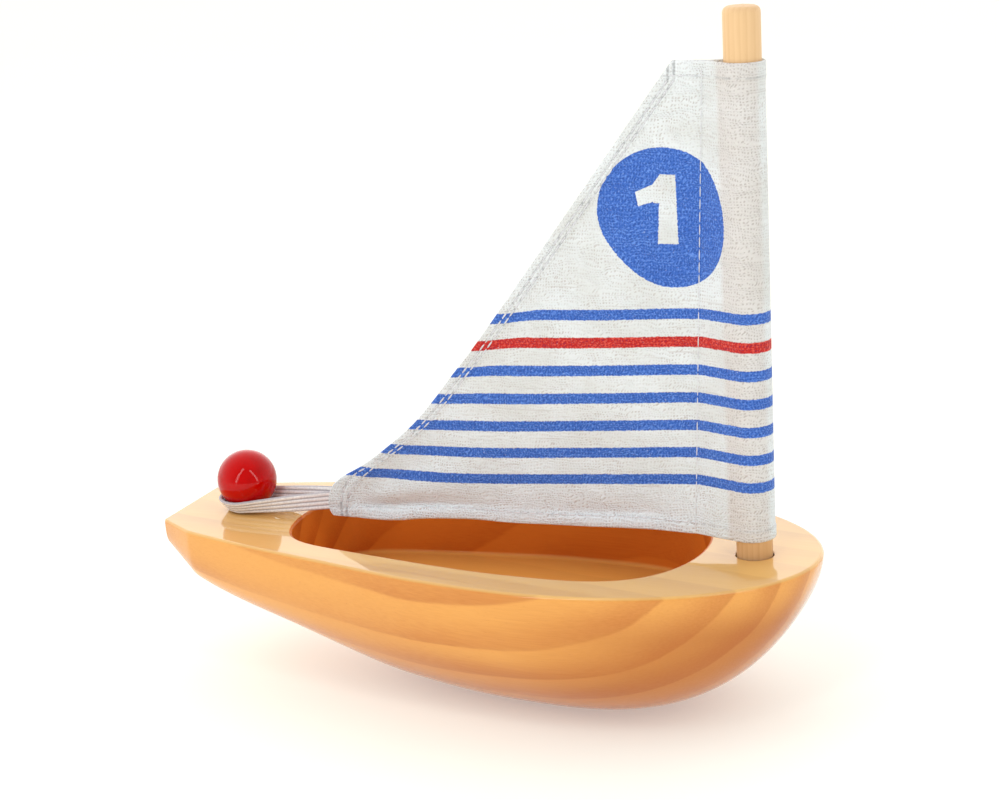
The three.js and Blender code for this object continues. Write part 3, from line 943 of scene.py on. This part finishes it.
def white_cloth(g, layout, x, z, gap):
    """Bleached cloth: painted cool light near the foot, painted warm shade over the mast, painted shade in
    its gaps and along its seams, and darker slubs.
    """
    cloud = g.noise(layout, 0.05, detail=3.0)
    white = g.mix(g.step(cloud, 0.35, 0.65), srgb(225, 229, 231), srgb(217, 219, 218))
    # Painted light: cooler white near the foot, set against the warm light that the hull bounces onto it.
    white = g.mix(g.step(z, 40.0, 0.0, 0.0, 0.5), white, srgb(226, 240, 248))
    # Painted shade, warm, where the mast behind shows through the cloth; the gaps are painted more open there
    # too.
    over_mast = g.math("MULTIPLY", g.step(x, 174.5, 177.0), g.step(x, 189.5, 187.0))
    white = g.mix(g.math("MULTIPLY", over_mast, 0.6), white, srgb(210, 201, 196))
    open_weave = g.step(g.noise(layout, 0.11, detail=3.0), 0.35, 0.65, 0.25, 0.7)
    open_weave = g.math("MAXIMUM", open_weave, g.math("MULTIPLY", over_mast, 0.85))
    slub = g.step(g.noise(g.stretched(layout, 0.05, 1.1, 1), detail=2.0), 0.62, 0.72, 0.0, 0.35)
    # Painted shade in the weave's gaps, where the shade behind the cloth shows through; the slubs are darker
    # thread.
    shade = g.math("MAXIMUM", g.math("MULTIPLY", gap, open_weave), slub)
    white = g.mix(shade, white, srgb(186, 178, 174))
    outer, inner, hems = g.split(g.node("Attribute", output="Vector", attribute_name="rows"))
    rows = g.math("MINIMUM", g.math("ABSOLUTE", outer), g.math("ABSOLUTE", inner))
    tight = g.step(g.noise(layout, 0.55, detail=2.0), 0.38, 0.62, 0.1, 0.62)
    # Painted shade in the creases along the stitch rows and hems, uneven along them.
    hem_shade = g.math("MULTIPLY", g.step(hems, 0.5, 0.1), 0.6)
    crease_shade = g.math("MAXIMUM", g.step(rows, 0.62, 0.16), hem_shade)
    return g.mix(g.math("MULTIPLY", crease_shade, tight), white, srgb(140, 142, 146))


def cotton():
    """White open-weave cotton with printed stripes and a round patch with a figure 1."""
    g = Graph("printed_cotton")
    layout = g.node("Attribute", output="Vector", attribute_name="cloth")
    x, z, level = g.split(layout)
    height, gap = weave(g, layout, x, level)
    inked_blue, inked_red = printed(g, layout, x, z, level)
    white = white_cloth(g, layout, x, z, gap)
    # Lighter ink where the threads stand high is a painted highlight; the noise adds real uneven wear of the
    # print.
    wear_and_thread_highlight = g.math("ADD", g.math("MULTIPLY", height, 0.45), g.noise(layout, 2.1, detail=3.0))
    wear_and_thread_highlight = g.step(wear_and_thread_highlight, 0.72, 1.2)
    blue = g.mix(wear_and_thread_highlight, srgb(56, 98, 186), srgb(104, 146, 222))
    red = g.mix(wear_and_thread_highlight, srgb(188, 34, 30), srgb(222, 92, 80))
    full = g.math("SUBTRACT", 1.0, g.step(g.noise(layout, 1.15, detail=2.0), 0.66, 0.8, 0.0, 0.35))
    wrong_side = g.node("Attribute", output="Fac", attribute_name="wrong_side")
    full = g.math("MULTIPLY", full, g.step(wrong_side, 0.0, 1.0, 1.0, 0.55))
    colour = g.mix(g.math("MULTIPLY", inked_blue, full), white, blue)
    colour = g.mix(g.math("MULTIPLY", inked_red, full), colour, red)
    # Painted shade in the gaps between the printed threads.
    inked_gap_shade = g.math("MULTIPLY", gap, g.math("MAXIMUM", inked_blue, inked_red))
    colour = g.mix(g.math("MULTIPLY", inked_gap_shade, 0.3), colour, srgb(36, 44, 92))
    g.bump(height, 0.2, 1.0)
    return g.finish(colour, Roughness=0.92, Sheen_Weight=0.15, Sheen_Roughness=0.5, Specular_IOR_Level=0.2)


def braid():
    """Ribbed white elastic, with painted grey shade in its grooves."""
    g = Graph("braided_elastic")
    at = g.boat()
    x, _, _ = g.split(at)
    cross = g.math("ABSOLUTE", g.math("SINE", g.math("MULTIPLY", x, math.pi / 0.45)))
    mottled = g.noise(at, 1.6, detail=2.0)
    relief = g.node("Attribute", output="Fac", attribute_name="relief")
    groove_shade = g.step(relief, 0.88, 0.66)
    colour = g.mix(g.step(mottled, 0.3, 0.7), srgb(240, 238, 238), srgb(222, 218, 220))
    # Painted shade: grey in the grooves between the ribs.
    colour = g.mix(g.math("MULTIPLY", groove_shade, 0.6), colour, srgb(132, 124, 134))
    g.bump(g.math("ADD", cross, mottled), 0.05, 0.5)
    return g.finish(colour, Roughness=0.75, Sheen_Weight=0.1)


def thread():
    """Twisted white sewing thread, painted darker in the grooves of its twist and lighter on its ridges."""
    g = Graph("sewing_thread")
    at = g.boat()
    x, _, z = g.split(at)
    twist = g.math("SINE", g.math("MULTIPLY", g.math("ADD", x, g.math("MULTIPLY", z, 1.4)), 13.0))
    mottled = g.noise(at, 2.5, detail=1.0)
    # Painted shade and highlight: darker in the twist's grooves, lighter on its ridges.
    colour = g.mix(g.step(twist, -0.6, 0.6), srgb(205, 205, 210), srgb(240, 240, 242))
    colour = g.mix(g.step(mottled, 0.3, 0.7, 0.0, 0.3), colour, srgb(188, 188, 196))
    g.bump(twist, 0.05, 0.6)
    return g.finish(colour, Roughness=0.7, Sheen_Weight=0.1)


def paper():
    g = Graph("studio_white")
    at = g.node("TexCoord", output="Object")
    colour = g.mix(g.noise(at, 3.0), srgb(221, 222, 212), srgb(224, 225, 215))
    glow = {"Emission_Color": (1, 1, 1, 1), "Emission_Strength": FLOOR_GLOW}
    return g.finish(colour, Roughness=0.9, Specular_IOR_Level=0.1, **glow)


def dress(target, material, slot, body, *nodes):
    target.data.materials.append(material)
    if body:
        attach(target, body)
    if nodes:
        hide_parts(*nodes)


# ---- studio ----
def make_camera():
    a, e, r = (math.radians(v) for v in (AZIMUTH, ELEVATION, ROLL))
    back = Vector((math.sin(a) * math.cos(e), -math.cos(a) * math.cos(e), math.sin(e)))
    right = Vector((math.cos(a), math.sin(a), 0))
    up = back.cross(right)
    turned_right = right * math.cos(r) + up * math.sin(r)
    turned_up = up * math.cos(r) - right * math.sin(r)
    camera = bpy.data.cameras.new("camera")
    camera.lens = LENS
    camera.sensor_width = SENSOR
    camera.clip_start = 0.01
    camera.clip_end = 50
    holder = bpy.data.objects.new("camera", camera)
    bpy.context.scene.collection.objects.link(holder)
    matrix = Matrix((turned_right, turned_up, back)).transposed().to_4x4()
    matrix.translation = Vector(place(AIM)) + back * DISTANCE * MM
    holder.matrix_world = matrix
    bpy.context.scene.camera = holder


def make_light(name, low, high, width, power, glossy):
    """A long light between two points, facing the boat. Reflections show it only if it is glossy."""
    low, high = Vector(low), Vector(high)
    light = bpy.data.lights.new(name, "AREA")
    light.shape = "RECTANGLE"
    light.size = width
    light.size_y = (high - low).length
    light.energy = power
    along = (high - low).normalized()
    middle = (low + high) / 2
    away = (middle - Vector(LIT)).normalized()
    across = along.cross(away).normalized()
    matrix = Matrix((across, along, across.cross(along))).transposed().to_4x4()
    matrix.translation = middle
    holder = bpy.data.objects.new(name, light)
    holder.matrix_world = matrix
    holder.visible_camera = False
    holder.visible_glossy = glossy
    bpy.context.scene.collection.objects.link(holder)


def make_world():
    """A white room, dimmer on one side."""
    world = bpy.data.worlds.new("white_studio")
    world.use_nodes = True
    nodes, links = world.node_tree.nodes, world.node_tree.links
    direction = nodes.new("ShaderNodeTexCoord")
    toward = nodes.new("ShaderNodeVectorMath")
    toward.operation = "DOT_PRODUCT"
    toward.inputs[1].default_value = Vector(DIM_SIDE).normalized()
    dim = nodes.new("ShaderNodeMapRange")
    for socket, value in zip(list(dim.inputs)[1:5], (*DIM_RANGE, BRIGHT_LEVEL, DIM_LEVEL)):
        socket.default_value = value
    links.new(direction.outputs["Generated"], toward.inputs[0])
    links.new(toward.outputs["Value"], dim.inputs[0])
    links.new(dim.outputs[0], nodes["Background"].inputs["Strength"])
    nodes["Background"].inputs["Color"].default_value = (1, 1, 1, 1)
    bpy.context.scene.world = world
    bpy.context.scene.view_settings.view_transform = "Standard"


def make_floor():
    mesh = bpy.data.meshes.new("floor")
    corners = [(sx * FLOOR_REACH, sy * FLOOR_REACH, 0) for sx, sy in ((-1, -1), (1, -1), (1, 1), (-1, 1))]
    mesh.from_pydata(corners, [], [(0, 1, 2, 3)])
    floor = bpy.data.objects.new("floor", mesh)
    bpy.context.scene.collection.objects.link(floor)
    floor.data.materials.append(paper())


# ---- the boat ----
make_camera()
make_world()
make_floor()
for light in LIGHTS:
    make_light(*light)

bare = dowel()
lacquered = lacquer()
threads = thread()

hull = make_hull()
dress(hull, outside_pine(), "hull_wood", "hull", "hull")
hull.data.materials.append(inside_pine())
mast = make_mast()
dress(mast, bare, "mast_wood", "hull", "mast")
bead = make_bead()
dress(bead, lacquered, "red_lacquer", "hull", "stern_ball")
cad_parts["ball_peg"].data.materials.clear()
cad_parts["ball_peg"].data.materials.append(bare)

sail = make_sail()
dress(sail, cotton(), "sail_cloth", "sail", "sail")

luff_row = [(seam_x(z) - 0.8, z) for z in (6.5, HEAD_Z - 2)]
foot_row = [(x, foot_z(x) + FOOT_ROW) for x in np.linspace(58, 165, 60)]
head_row = [(160.2, HEAD_Z - HEAD_ROW), (174, HEAD_Z - HEAD_ROW)]
SEAMS = [  # name, the node it replaces, route, pitch, length of a stitch, radius of the thread
    ("luff_seam_stitches", "luff_seam_thread", luff_row, 3.4, 3.0, 0.16),
    ("leech_outer_stitches", "leech_outer_thread", outer_row, 3.0, 2.5, 0.24),
    ("leech_inner_stitches", "leech_inner_thread", inner_row, 3.0, 2.5, 0.24),
    ("head_hem_stitches", "head_hem_thread", head_row, 2.6, 2.0, 0.2),
    ("foot_hem_stitches", "foot_hem_thread", foot_row, 2.4, 1.9, 0.18),
]
for name, node, route, pitch, length, radius in SEAMS:
    row = make_stitches(name, route, pitch, length, radius)
    dress(row, threads, "thread", "sail", node)

elastic = make_elastic()
dress(elastic, braid(), "elastic", None, "elastic_loop")
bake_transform(elastic)
